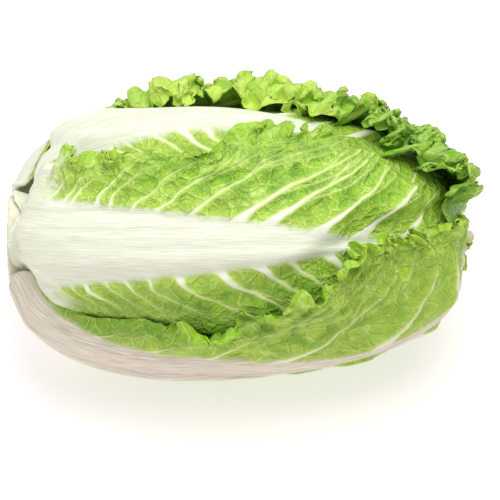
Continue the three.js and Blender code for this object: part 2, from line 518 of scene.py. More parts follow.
class Shader:
    """Makes the nodes of one material."""

    def __init__(self, name: str) -> None:
        """Start a material with its own Principled shader.

        Args:
            name: the material's name.
        """
        self.material = bpy.data.materials.new(name)
        self.material.use_nodes = True
        self.tree = self.material.node_tree
        self.principled = self.tree.nodes["Principled BSDF"]

    def _fill(self, slot: bpy.types.NodeSocket, value: object) -> None:
        """Link a socket to a value, or set the number or colour on it.

        Args:
            slot: the socket.
            value: the output of another node, a number, a colour or a vector.
        """
        if isinstance(value, Socket):
            self.tree.links.new(value.output, slot)
        elif isinstance(value, tuple) and len(value) == 3 and slot.type == "RGBA":
            slot.default_value = (*value, 1.0)
        else:
            slot.default_value = value

    def node(self, kind: str, settings: dict, inputs: dict | list, output: str | int = 0) -> Socket:
        """Add a node.

        Args:
            kind: the node's type.
            settings: its properties, which are set first.
            inputs: values or links for its sockets, by name, by number or in order.
            output: the output that is wanted, by name or number.

        Returns:
            The wanted output.
        """
        made = self.tree.nodes.new(kind)
        for key, value in settings.items():
            setattr(made, key, value)
        pairs = inputs.items() if isinstance(inputs, dict) else enumerate(inputs)
        for key, value in pairs:
            self._fill(made.inputs[key], value)
        return Socket(self, made.outputs[output])

    def attribute(self, name: str) -> Socket:
        """A number stored on the piece's vertices."""
        return self.node("ShaderNodeAttribute", {"attribute_name": name}, {}, "Fac")

    def leaf_map(self, scale: Colour) -> Socket:
        """The piece's own leaf coordinates in decimetres, stretched by a scale."""
        uv = self.node("ShaderNodeUVMap", {"uv_map": "leaf"}, {})
        return self.node("ShaderNodeVectorMath", {"operation": "MULTIPLY"}, [uv, scale])

    def cell_edge(self, vector: Socket, scale: float) -> Socket:
        """Distance to the nearest edge of irregular cells, at places given by a vector."""
        inputs = {"Vector": vector, "Scale": scale}
        return self.node(
            "ShaderNodeTexVoronoi", {"feature": "DISTANCE_TO_EDGE"}, inputs, "Distance"
        )

    def grain(self, vector: Socket, scale: float, detail: float = 2.0) -> Socket:
        """Noise from 0 to 1 at places given by a vector."""
        inputs = {"Vector": vector, "Scale": scale, "Detail": detail}
        return self.node("ShaderNodeTexNoise", {}, inputs, "Fac")

    def blend(self, share: Socket | float, a: object, b: object) -> Socket:
        """Mix colour a into b; a Mix node has its colours at inputs 6 and 7 and output 2."""
        return self.node("ShaderNodeMix", {"data_type": "RGBA"}, {0: share, 6: a, 7: b}, 2)

    def set(self, **values: object) -> None:
        """Set or link the Principled shader's sockets; an underscore stands for a space."""
        for key, value in values.items():
            self._fill(self.principled.inputs[key.replace("_", " ")], value)

    def bump(self, height: Socket, distance: float, strength: float) -> None:
        """Feed a height in millimetres to the shader's normal."""
        inputs = {"Height": height, "Distance": distance * MM, "Strength": strength}
        self.set(Normal=self.node("ShaderNodeBump", {}, inputs))


def linear(red: int, green: int, blue: int) -> Colour:
    """A colour given as it looks on a screen, from 0 to 255, brought to linear light."""
    shares = [value / 255.0 for value in (red, green, blue)]
    return tuple(s / 12.92 if s <= 0.04045 else ((s + 0.055) / 1.055) ** 2.4 for s in shares)


@dataclass(frozen=True)
class LeafFinish:
    """The colours and sheen of a leaf, from its white rib to its green margin.

    The scales are grains or cells to a decimetre of leaf.
    """

    name: str
    rib: Colour = linear(242, 243, 231)
    # rib_shade: darker streaks on the rib, partly its own fibre tone and partly painted shade of
    # its grooves.
    rib_shade: Colour = linear(222, 228, 196)
    vein: Colour = linear(220, 238, 146)
    blade: Colour = linear(166, 212, 58)
    # deep: the mottle's darker green, and also the painted shade in the ruffles' hollows.
    deep: Colour = linear(108, 164, 26)
    pale: Colour = linear(190, 220, 88)
    # margin: the margin's yellower green, and also the painted light on the ruffles' crests.
    margin: Colour = linear(164, 210, 44)
    tip: Colour = linear(150, 200, 40)
    roughness: float = 0.42
    mottle_scale: float = 9.0
    fleck_scale: float = 70.0
    crease_scale: float = 34.0
    net_scale: float = 9.5
    fine_net_scale: float = 27.0
    bump_height: float = 0.7
    bump_strength: float = 0.85

    def dress(self) -> bpy.types.Material:
        """Make the material.

        The rib and the side veins are bands round stored distances, and the net of small veins is
        the edges of irregular cells. The blade between runs from pale near the rib to green,
        mottled by noise. The margin's hollows get painted shade and its crests painted light.
        The rib's streaks are partly fibre tone and partly painted shade of its grooves.

        Returns:
            The material.
        """
        s = Shader(self.name)
        rib_edge, vein_edge, margin, along, fold = map(s.attribute, MEASURES)
        leaf = s.leaf_map((1.0, 1.0, 1.0))
        mottle = s.grain(leaf, self.mottle_scale, 3.0)
        fleck = s.grain(leaf, self.fleck_scale)
        fibre = s.grain(s.leaf_map((0.6, 16.0, 1.0)), 9.0)
        crease = s.grain(leaf, self.crease_scale, 2.5)
        net = s.cell_edge(leaf, self.net_scale)
        fine_net = s.cell_edge(leaf, self.fine_net_scale)

        pale = rib_edge.step(26.0, 1.0).largest(along.step(180.0, 70.0))
        net_line = net.step(0.06, 0.0) * (0.15 + 0.45 * mottle.step(0.35, 0.65))
        fine_line = fine_net.step(0.1, 0.0) * 0.16
        halo = vein_edge.step(3.0, 0.0) * 0.3
        layers = [
            (pale * (0.45 + 0.3 * mottle), self.pale),
            (fleck.step(0.4, 0.75) * 0.22, self.pale),
            (margin.step(9.0, 0.5) * 0.6, self.margin),
            # Painted shade: the deep green in the ruffles' hollows; painted light: the margin
            # colour on their crests.
            (fold.step(0.5, -3.5) * 0.6, self.deep),
            (fold.step(4.0, 14.0) * 0.35, self.margin),
            (along.step(215.0, 300.0) * (0.35 + 0.4 * mottle), self.tip),
            (halo.largest(net_line).largest(fine_line), self.vein),
            (
                vein_edge.step(0.6, -0.5) * 0.95,
                s.blend(vein_edge.step(-0.2, -1.2), self.vein, self.rib),
            ),
        ]
        green = s.blend(mottle.step(0.35, 0.68), self.deep, self.blade)
        for share, colour in layers:
            green = s.blend(share, green, colour)
        # Rib streaks in rib_shade: partly fibre tone, partly painted shade of the rib's grooves.
        white = s.blend(fibre.step(0.3, 0.7), self.rib_shade, self.rib)
        soft_edge = (rib_edge + (mottle - 0.5) * 5.0).step(3.2, -2.4)
        pale_base = (along + 30.0 * (mottle - 0.5)).step(86.0, 60.0) * margin.step(1.5, 6.5)
        soft_edge = soft_edge.largest(pale_base)
        s.set(Base_Color=s.blend(soft_edge, green, white))
        s.set(Roughness=self.roughness + 0.16 * (fleck - 0.5) + 0.06 * soft_edge)
        lines = fibre * soft_edge * 0.6
        skin = net.step(0.2, 0.0) * 1.6 + fine_net.step(0.16, 0.0) * 0.7 + fleck * 0.5
        skin = skin + crease * margin.step(30.0, 2.0) * 4.5
        skin = skin * (1.0 - soft_edge) * vein_edge.step(-0.6, 1.2)
        s.bump(lines + skin, self.bump_height, self.bump_strength)
        s.set(IOR=1.4, Subsurface_Weight=0.1, Subsurface_Scale=0.003)
        s.principled.inputs["Subsurface Radius"].default_value = (0.9, 1.0, 0.35)
        return s.material


@dataclass(frozen=True)
class StemFinish:
    """The colours of the stem core and its cut face."""

    name: str = "Stem_flesh"
    flesh: Colour = linear(238, 238, 214)
    ring: Colour = linear(214, 205, 160)
    dry: Colour = linear(178, 146, 96)

    def dress(self) -> bpy.types.Material:
        """Make the material: rings round the pith, dry brown specks and an off-white flesh.

        Returns:
            The material.
        """
        s = Shader(self.name)
        rings = s.attribute("ring")
        leaf = s.leaf_map((1.0, 1.0, 1.0))
        mottle = s.grain(leaf, 30.0, 3.0)
        fleck = s.grain(leaf, 120.0)
        colour = s.blend(rings * (0.3 + 0.7 * mottle), self.flesh, self.ring)
        dried = mottle.step(0.5, 0.8) * fleck.step(0.35, 0.7)
        s.set(Base_Color=s.blend(dried * 0.8, colour, self.dry))
        s.set(Roughness=0.5 + 0.2 * fleck)
        s.bump(mottle + 0.5 * fleck, 0.6, 0.8)
        s.set(Subsurface_Weight=0.1, Subsurface_Scale=0.004)
        return s.material


def grid_faces(rows: int, columns: int, offset: int, flipped: bool) -> Array:
    """Corner numbers of a grid's square faces.

    Args:
        rows: points along the grid.
        columns: points across it.
        offset: the first point's number.
        flipped: whether the faces look the other way.

    Returns:
        An array of four corners for each face.
    """
    corner = np.arange(rows * columns).reshape(rows, columns)[:-1, :-1].ravel() + offset
    faces = np.stack([corner, corner + columns, corner + columns + 1, corner + 1], axis=1)
    return faces[:, ::-1] if flipped else faces


def rim_faces(rows: int, columns: int) -> Array:
    """Faces that close the edge between a grid and its copy behind it.

    The edge is walked once round: up the left side, over the top, down the right and back.

    Args:
        rows: points along the grid.
        columns: points across it.

    Returns:
        An array of four corners for each face.
    """
    index = np.arange(rows * columns).reshape(rows, columns)
    loop = np.concatenate([index[:-1, 0], index[-1, :-1], index[:0:-1, -1], index[0, :0:-1]])
    following = np.roll(loop, -1)
    behind = rows * columns
    return np.stack([loop, loop + behind, following + behind, following], axis=1)


def make_mesh(
    name: str, points: Array, faces: Array, material: bpy.types.Material
) -> bpy.types.Object:
    """Put points in metres and square faces into a smooth-shaded object at the origin.

    Args:
        name: the object's name.
        points: vertex places.
        faces: four corners for each face.
        material: the piece's material.

    Returns:
        The object.
    """
    mesh = bpy.data.meshes.new(name)
    mesh.vertices.add(len(points))
    mesh.vertices.foreach_set("co", points.astype(np.float32).ravel())
    mesh.loops.add(faces.size)
    mesh.loops.foreach_set("vertex_index", faces.astype(np.int32).ravel())
    mesh.polygons.add(len(faces))
    mesh.polygons.foreach_set("loop_start", np.arange(0, faces.size, 4, dtype=np.int32))
    mesh.polygons.foreach_set("use_smooth", np.ones(len(faces), dtype=bool))
    mesh.update(calc_edges=True)
    mesh.validate()
    mesh.materials.append(material)
    piece = bpy.data.objects.new(name, mesh)
    bpy.context.scene.collection.objects.link(piece)
    return piece


def store(piece: bpy.types.Object, name: str, values: Array) -> None:
    """Store a number on each vertex of a piece."""
    layer = piece.data.attributes.new(name, "FLOAT", "POINT")
    layer.data.foreach_set("value", values.astype(np.float32).ravel())


def store_map(piece: bpy.types.Object, name: str, u: Array, v: Array) -> None:
    """Store a pair of numbers for each vertex as a named map of the piece.

    Args:
        piece: the object.
        name: the map's name.
        u: the first number of each vertex.
        v: the second.
    """
    mesh = piece.data
    layer = mesh.uv_layers.new(name=name)
    corner = np.empty(len(mesh.loops), dtype=np.int32)
    mesh.loops.foreach_get("vertex_index", corner)
    pairs = np.stack([u.ravel()[corner], v.ravel()[corner]], axis=1)
    layer.data.foreach_set("uv", pairs.astype(np.float32).ravel())


@dataclass
class Place:
    """Where the head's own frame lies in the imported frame."""

    form: HeadForm
    shift: Array

    @classmethod
    def from_core(cls, form: HeadForm, core: "StemCore") -> "Place":
        """Read the place from the stem core, which is centred on the axis and ends at the cut.

        Args:
            form: the head's form.
            core: the stem core's sizes.

        Returns:
            The place.
        """
        low, high = (np.array(corner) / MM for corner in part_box("stem_core"))
        middle = (low + high) / 2.0
        return cls(form, np.array([low[0] + core.cut_at, middle[1], -form.floor]))

    def to_frame(self, points: Array) -> Array:
        """Carry points from the head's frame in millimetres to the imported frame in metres."""
        return (points + self.shift) * MM


@dataclass
class Leaf:
    """One leaf of the head, as a closed thin shell with its rib, veins and ruffled margin.

    Lengths are in millimetres. The base's corners are cut back by `corner`, the outermost leaf's
    tip is pressed in by `tip_press`, and ruffles grow over `floor_band` above the floor.
    """

    node: str
    slot: str
    outline: Outline
    frill: Frill
    veins: Veins
    detail: Detail
    seed: int
    corner: float = 17.0
    tip_press: float = 7.0
    floor_band: tuple[float, float] = (6.0, 34.0)
    margin_thick: float = 0.75
    blade_thick: float = 1.1
    rib_fullness: float = 0.8

    def rows_and_columns(self, start: float) -> tuple[Array, Array]:
        """The grid of places on the leaf.

        Rows run straight across up to the shoulder. Past it the grid is bent as a square is bent
        onto a disc, x = u sqrt(1 - v^2 / 2) and y = v sqrt(1 - u^2 / 2), so that it rounds the tip
        without a pole. The base's corners are rounded off. Points crowd towards the margins.

        Args:
            start: where the leaf leaves the stem.

        Returns:
            The places along and across, one array each.
        """
        rows, columns = self.detail.value
        o = self.outline
        stem_share = (o.shoulder - start) / (o.reach - start)
        u = np.linspace(0.0, 1.0, rows)[:, None]
        s = np.linspace(-1.0, 1.0, columns)[None, :]
        v = np.sign(s) * (1.0 - (1.0 - np.abs(s)) ** 1.3)
        rise = np.clip((u - stem_share) / (1.0 - stem_share), 0.0, 1.0)
        rise = 1.0 - (1.0 - rise) ** 1.25
        up_stem = np.clip(u / stem_share, 0.0, 1.0)
        below = start + (o.shoulder - start) * up_stem
        corner = self.corner * v**2 * (1.0 - np.clip(up_stem * 2.5, 0.0, 1.0)) ** 2
        along = below + corner + (o.reach - o.shoulder) * rise * np.sqrt(1.0 - v**2 / 2.0)
        across = v * o.half_width(below) * np.sqrt(1.0 - rise**2 / 2.0)
        return along, across

    def margin_walk(self, along: Array, across: Array) -> Array:
        """Length along the margin from the tip, positive on one side and negative on the other.

        Up to the shoulder it is a straight length, and round the tip an angle times the crown.

        Args:
            along: places along the leaf.
            across: places across it.

        Returns:
            The length at each place.
        """
        o = self.outline
        turn = np.arctan2(np.maximum(along - o.shoulder, 0.0), np.abs(across) + 1e-6)
        to_shoulder = (math.pi / 2.0 - turn) * o.crown
        return np.sign(across) * (to_shoulder + np.maximum(o.shoulder - along, 0.0))

    def vein_lines(self, along: Array, across: Array) -> tuple[Array, Array]:
        """Where a place lies among the side veins.

        A side vein is a line of constant climb = along - lean * sideways - sweep * sideways^2,
        where sideways is measured from the rib's edge. Veins are counted so that they are
        `spacing` apart at the start and grow apart along the leaf: count = ln(1 + k c / s) / k.

        Args:
            along: places along the leaf.
            across: places across it.

        Returns:
            The count, and how many millimetres one count is, square to the veins.
        """
        o, g = self.outline, self.veins
        sideways = o.past_rib(along, across)
        wander = 3.2 * noise(along / 30.0, across / 24.0, self.seed + 3)
        wander = wander + noise(along / 9.0, across / 9.0, self.seed + 4)
        lean = mix(g.base_lean, g.crown_lean, smooth(along, 70.0, 240.0))
        climb = along - lean * sideways - g.sweep * sideways**2
        climb = climb + wander * smooth(sideways, 0.0, 9.0)
        climbed = np.maximum(climb - g.start, -0.8 * g.spacing / g.spread)
        count = np.log1p(g.spread * climbed / g.spacing) / g.spread
        pitch = g.spacing + g.spread * climbed
        return count, pitch / np.sqrt(1.0 + (lean + 2.0 * g.sweep * sideways) ** 2)

    def vein_distance(self, along: Array, across: Array) -> tuple[Array, Array]:
        """Distance to the side veins.

        Each side vein is thin near the base and thins outwards. It forks twice: a branch leaves it
        at a place of its own and moves half way to the next vein.

        Args:
            along: places along the leaf.
            across: places across it.

        Returns:
            Distance past a side vein's edge, and the nearest vein's strength.
        """
        o, g = self.outline, self.veins
        sideways = o.past_rib(along, across)
        half = np.where(across < 0.0, 1, 0)
        count, pitch = self.vein_lines(along, across)
        count = count + 0.45 * half
        nearest = np.round(count)
        body = 0.3 + 0.7 * np.exp(-sideways / 26.0)
        body = body * mix(0.5, 1.0, smooth(along, 110.0, 225.0))
        best = np.full(along.shape, 99.0)
        strength = np.zeros(along.shape)
        for step in (-1, 0, 1):
            number = nearest + step
            own = 0.75 + 0.3 * hashed(number, half, self.seed + 7)
            line = number + 0.27 * hashed(number, half, self.seed + 5)
            for branch, (lowest, share) in enumerate(g.branches):
                fork = lowest + 9.0 * hashed(number, half, self.seed + 8 + branch) * (branch > 0)
                leaving = 0.42 * np.sign(share) * smooth(sideways, fork, fork + 30.0) * (branch > 0)
                width = g.width * own * body * abs(share) * (g.forks if branch else 1.0)
                flare = 2.2 * own * body * np.exp(-sideways / 9.0) * (branch == 0)
                away = np.abs(count - line - leaving) * pitch - width / 2.0 - flare
                away = away + 99.0 * (sideways < fork) * (branch > 0)
                strength = np.where(away < best, own * body * abs(share), strength)
                best = np.minimum(best, away)
        return best, strength

    def relief(self, along: Array, across: Array, free: Array) -> tuple[Array, dict[str, Array]]:
        """Height of the leaf's outer side over its layer, and the distances that colour it.

        The rib is a dome with strands along it. Side veins stand proud of the blade, which sinks
        between them like a quilt, over a slow swell and small wrinkles. The net of small veins
        belongs to the finish.

        Args:
            along: places along the leaf.
            across: places across it.
            free: 1 where nothing lies over the leaf, 0 where it is covered.

        Returns:
            The height in millimetres, and the distances by name.
        """
        o, g = self.outline, self.veins
        rib_half = o.rib_half_width(along)
        edge = np.abs(across) - rib_half
        vein, strength = self.vein_distance(along, across)
        vein = vein + 2.2 * np.exp(np.minimum(o.past_margin(along, across), 0.0) / 9.0)
        on_blade = smooth(edge, -2.0, 6.0)
        crown = (2.6 * (1.0 - o.rib_share(along)) + 1.2) * smooth(along, 0.0, 100.0)
        dome = crown * (1.0 - smooth(np.abs(across) / (rib_half + 4.0), 0.3, 1.0))
        strand_place = across / 9.0 + 0.5 * noise(along / 70.0, across / 16.0, self.seed)
        strands = noise(strand_place, along / 160.0, self.seed + 20)
        fine_strands = noise(across / 2.1, along / 70.0, self.seed + 21)
        ridges = (2.4 * strands + 0.16 * fine_strands) * (1.0 - smooth(edge, -5.0, 3.0))
        ridge = np.exp(-(np.maximum(vein + 0.4, 0.0) ** 2))
        pucker = smooth(vein, 0.0, 6.5)
        swell = layered_noise(along / 40.0, across / 30.0, self.seed + 23, 2)
        wrinkle = layered_noise(along / 12.0, across / 10.0, self.seed + 29, 2)
        blade = g.relief * ridge * strength - g.pucker * 0.5 * pucker + 1.9 * swell
        blade = blade + 0.7 * wrinkle
        height = dome + ridges + on_blade * blade * mix(0.4, 1.0, free)
        measures = {
            "rib_edge": edge,
            "vein_edge": vein,
            "margin": -o.past_margin(along, across),
            "along": along,
        }
        return height, measures

    def ruffle(self, along: Array, across: Array, free: Array) -> tuple[Array, ...]:
        """Ruffles of the free margin.

        Waves run along the margin and die away inwards: h = wave * n(walk / length) * e^(-d / r)
        for three lengths, with the creases of |n|. Other waves carry the margin sideways, so that
        it curls and overhangs. Small bumps square to the blade crinkle it.

        Args:
            along: places along the leaf.
            across: places across it.
            free: how free the leaf is to ruffle, 0 to 1.

        Returns:
            The height, the shifts along and across, and the crinkle, in millimetres.
        """
        o, f = self.outline, self.frill
        walk = self.margin_walk(along, across)
        inside = np.maximum(-o.past_margin(along, across), 0.0)
        strength = smooth(free, 0.1, 0.75) * smooth(along, f.start, f.start + 60.0)
        rounding = smooth(along, o.shoulder - 10.0, o.reach)
        height = f.lift * np.exp(-(((inside - f.roll) / (0.75 * f.reach_in)) ** 2))
        inward = 0.0
        onward = 0.0
        for step, (length, share) in enumerate(f.waves):
            fade = np.exp(-inside / (f.reach_in * share))
            seed = self.seed + 40 + 3 * step
            across_wave = inside / (1.1 * length)
            wave = noise(walk / length, across_wave, seed)
            wave = wave + 0.5 - np.abs(noise(walk / length, across_wave, seed + 20))
            height = height + f.wave * share * fade * wave
            inward = inward + f.curl * share * fade * noise(walk / length, across_wave, seed + 1)
            onward = onward + f.curl * share * fade * noise(walk / length, across_wave, seed + 2)
        jag = f.jag * np.exp(-inside / 6.0) * layered_noise(walk / 11.0, 0.0, self.seed + 61, 3)
        crinkle = layered_noise(along / 6.5, across / 6.5, self.seed + 67, 2)
        crinkle = f.crinkle * crinkle * np.exp(-inside / (1.6 * f.reach_in))
        height = height * (1.0 + f.rise * rounding)
        out_across = np.sign(across) * (1.0 - rounding)
        shift_along = onward * (1.0 - rounding) + (inward + jag) * rounding
        shift_across = onward * rounding + (inward + jag) * out_across
        hugging = f.hug * np.exp(-inside / 13.0) * (1.0 - smooth(along, 110.0, 190.0))
        shifts = (shift_along * strength, shift_across * strength)
        return height * strength - hugging, *shifts, crinkle * strength

    def start(
        self, form: HeadForm, above: list[Outline], core: "StemCore"
    ) -> tuple[float, float]:
        """Where the midrib meets the stem core, found by walking down it from the barrel.

        Args:
            form: the head's form.
            above: outlines of the leaves that lie over this one.
            core: the stem core that the leaf grows from.

        Returns:
            That place along the leaf, and the length left beside the core down to its cut face.
        """
        o = self.outline
        along = np.arange(form.cap_arc, 4.0, -0.5)
        across = np.zeros_like(along)
        capsule = o.capsule_point(form, along, across)
        depth = stacked_depth(form, above, capsule)[0]
        thickness = o.blade + o.rib_thickness(along, across)
        inner = form.layer_point(capsule, depth + thickness)
        clear = np.hypot(inner[:, 1], inner[:, 2]) - core.radius(inner[:, 0])
        meeting = np.argmax(clear < core.clearance)
        left = form.layer_point(capsule, depth)[meeting, 0] + core.cut_at - core.lip
        return float(along[meeting]), float(max(left, 0.0))

    def build(
        self, place: Place, above: list[Outline], core: "StemCore", material: bpy.types.Material
    ) -> bpy.types.Object:
        """Build the leaf: its outer side, the inner side behind it, and the rim between them.

        Args:
            place: where the head lies.
            above: outlines of the leaves that lie over this one.
            core: the stem core that the leaf grows from.
            material: the leaf's material.

        Returns:
            The leaf's object.
        """
        form, o = place.form, self.outline
        start, left = self.start(form, above, core)
        sheathing = len(above) < core.sheathed
        along, across = self.rows_and_columns(start - left * sheathing)
        below = np.maximum(start - along, 0.0)
        along = np.maximum(along, start)
        capsule = o.capsule_point(form, along, across)
        depth, hidden = stacked_depth(form, above, capsule)
        free = 1.0 - hidden
        height_above = form.layer_point(capsule, depth)[..., 2] - form.floor
        off_floor = smooth(height_above, *self.floor_band)
        height, measures = self.relief(along, across, free)
        ruffle, shift_along, shift_across, crinkle = self.ruffle(along, across, free * off_floor)
        capsule = o.capsule_point(form, along + shift_along, across + shift_across)
        # The ruffle's height, which the finish turns into painted shade in hollows and painted
        # light on crests.
        measures["fold"] = ruffle
        pressed = self.tip_press * smooth(along, o.shoulder + 20.0, o.reach) * (not above)
        depth = stacked_depth(form, above, capsule)[0] + pressed
        outer = form.layer_point(capsule, depth - height - ruffle)
        outer = outer + crinkle[..., None] * self.normals(outer)
        normal = self.normals(outer)
        thin = mix(self.margin_thick, self.blade_thick, smooth(measures["margin"], 0.0, 14.0))
        rib = self.rib_fullness * o.rib_thickness(along, across)
        inner = outer - normal * thin[..., None] - unit(capsule) * rib[..., None]
        if sheathing:
            room = core.clearance + core.sheathed - len(above)
            held = core.hold * (1.0 - smooth(along - start, 0.0, core.hold_length))
            outer = core.wrap(outer, below, room, held)
            inner = core.wrap(inner, below, room - core.sheath_thick, held)
        outer[..., 2] = np.maximum(outer[..., 2], form.floor)
        inner[..., 2] = np.maximum(inner[..., 2], form.floor + 0.6)
        points = np.concatenate([outer.reshape(-1, 3), inner.reshape(-1, 3)])
        rows, columns = along.shape
        faces = np.concatenate([
            grid_faces(rows, columns, 0, False),
            grid_faces(rows, columns, rows * columns, True),
            rim_faces(rows, columns),
        ])
        piece = make_mesh("Leaf_" + self.node, place.to_frame(points), faces, material)
        for key, values in measures.items():
            store(piece, key, np.tile(values.ravel(), 2))
        u = np.tile(along.ravel(), 2) / DECIMETRE
        v = np.tile(across.ravel(), 2) / DECIMETRE + self.seed
        store_map(piece, "leaf", u, v)
        return piece

    @staticmethod
    def normals(points: Array) -> Array:
        """Unit normals of a grid, from the differences along its rows and columns.

        Args:
            points: the grid's points.

        Returns:
            The normals, which point away from the head's middle on the whole.
        """
        along = np.gradient(points, axis=0)
        across = np.gradient(points, axis=1)
        normal = unit(np.cross(along, across))
        outwards = np.sign(np.sum(normal * points, axis=-1).mean())
        return normal * outwards


def stacked_depth(form: HeadForm, above: list[Outline], capsule: Array) -> tuple[Array, Array]:
    """How deep a leaf lies under the leaves outside it.

    Args:
        form: the head's form.
        above: outlines of the leaves outside it.
        capsule: points on the capsule.

    Returns:
        The sum of the room that they take up, and how fully the fullest of them covers each point.
    """
    depth = np.zeros(capsule.shape[:-1])
    hidden = np.zeros(capsule.shape[:-1])
    for outline in above:
        along, across = outline.place_of(form, capsule)
        depth = depth + outline.room(along, across)
        hidden = np.maximum(hidden, outline.cover(along, across))
    return depth, hidden


@dataclass
class StemCore:
    """The stem inside the base: a blunt cone from the cut face to the growing point.

    The bases of the `sheathed` outermost leaves are drawn in round it over `hold_length`.
    """

    cut_at: float = 130.0
    cut_radius: float = 28.0
    length: float = 66.0
    tip_radius: float = 7.0
    dish: float = 0.9
    edge: float = 1.4
    clearance: float = 2.0
    lip: float = 0.5
    sheathed: int = 5
    sheath_thick: float = 2.0
    hold: float = 0.95
    hold_length: float = 34.0
    turns: int = 160

    def radius(self, x: Array) -> Array:
        """Radius of the core at a place along the head."""
        share = np.clip((x + self.cut_at) / self.length, 0.0, 1.0)
        return mix(self.cut_radius, self.tip_radius, share)

    def wrap(self, points: Array, below: Array, room: float, held: Array) -> Array:
        """Draw a leaf's base in round the core and down towards the cut face.

        No point goes past the cut face: its height h over the face's lip becomes ln(1 + e^h).

        Args:
            points: points of the leaf.
            below: how far each goes on down the core.
            room: how far off the core they come to lie.
            held: how fully each is drawn in, 0 to 1.

        Returns:
            The points moved.
        """
        lip = self.lip - self.cut_at
        x = lip + np.logaddexp(0.0, points[..., 0] - below - lip)
        reach = np.hypot(points[..., 1], points[..., 2])
        scale = mix(reach, self.radius(x) + room, held) / reach
        return np.stack([x, points[..., 1] * scale, points[..., 2] * scale], axis=-1)

    def profile(self) -> tuple[Array, Array, int]:
        """The outline that is turned about the axis.

        It goes over the slightly hollow cut face, round its edge, down the cone and over the
        growing point. Its first and last points lie just off the axis.

        Returns:
            The places along the axis, the radii, and how many of the points lie on the cut face.
        """
        face = np.linspace(0.012, 1.0, 40)
        cone = np.linspace(0.0, 1.0, 60)[1:]
        cap = np.linspace(0.0, math.pi / 2.0, 14)[1:-1]
        radius = np.concatenate([
            face * (self.cut_radius - self.edge),
            mix(self.cut_radius, self.tip_radius, cone) - self.edge * np.exp(-cone * 40.0),
            self.tip_radius * np.cos(cap),
        ])
        x = np.concatenate([
            self.dish * (1.0 - smooth(face, 0.2, 0.95)),
            0.3 + cone * self.length,
            self.length + self.tip_radius * np.sin(cap),
        ])
        return x - self.cut_at, radius, len(face)

    def faces(self, rows: int) -> Array:
        """Square faces round the sides, and those that close both ends on the last two points.

        Args:
            rows: how many rings of points there are.

        Returns:
            An array of four corners for each face.
        """
        index = np.arange(rows * self.turns).reshape(rows, self.turns)
        following = np.roll(index, -1, axis=1)
        sides = np.stack([index[:-1], following[:-1], following[1:], index[1:]], axis=-1)
        pairs = np.arange(0, self.turns, 2)
        second, third = pairs + 1, (pairs + 2) % self.turns
        first_end = np.full(len(pairs), rows * self.turns)
        near = [index[0, pairs], first_end, index[0, third], index[0, second]]
        far = [index[-1, pairs], index[-1, second], index[-1, third], first_end + 1]
        ends = [np.stack(corners, axis=1) for corners in (near, far)]
        return np.concatenate([sides.reshape(-1, 4), *ends])

    def build(self, place: Place, finish: StemFinish) -> bpy.types.Object:
        """Build the core as a profile turned about the axis, slightly out of round.

        Args:
            place: where the head lies.
            finish: the core's finish.

        Returns:
            The core's object.
        """
        x, radius, on_face = self.profile()
        angle = np.linspace(0.0, 2.0 * math.pi, self.turns, endpoint=False)[None, :]
        radius = radius[:, None] * (1.0 + 0.012 * np.sin(5.0 * angle + 0.6))
        y, z = radius * np.cos(angle), radius * np.sin(angle)
        cut = (np.arange(len(x)) < on_face)[:, None] * smooth(radius / self.cut_radius, 0.0, 0.3)
        along = x[:, None] + 0.25 * layered_noise(y / 4.0, z / 4.0, 5) * cut
        points = np.stack([along, y, z], axis=-1).reshape(-1, 3)
        ends = np.array([[along[0, 0], 0.0, 0.0], [along[-1, 0] + 0.2, 0.0, 0.0]])
        points = np.concatenate([points, ends])
        piece = make_mesh("Stem", place.to_frame(points), self.faces(len(x)), finish.dress())
        x, y, z = points.T
        reach = np.hypot(y, z)
        rings = 0.5 + 0.5 * np.sin(reach * 0.9 + 2.0 * noise(y / 9.0, z / 9.0, 3))
        store(piece, "ring", rings * smooth(reach, 3.0, 12.0))
        store_map(piece, "leaf", y / DECIMETRE, z / DECIMETRE + x / DECIMETRE)
        return piece


class Whorl(Enum):
    """The three sorts of leaf, with the start of their nodes' names and their slot."""

    OUTER = "outer_leaf"
    WRAPPING = "wrapping_leaf"
    HEART = "heart_leaf"


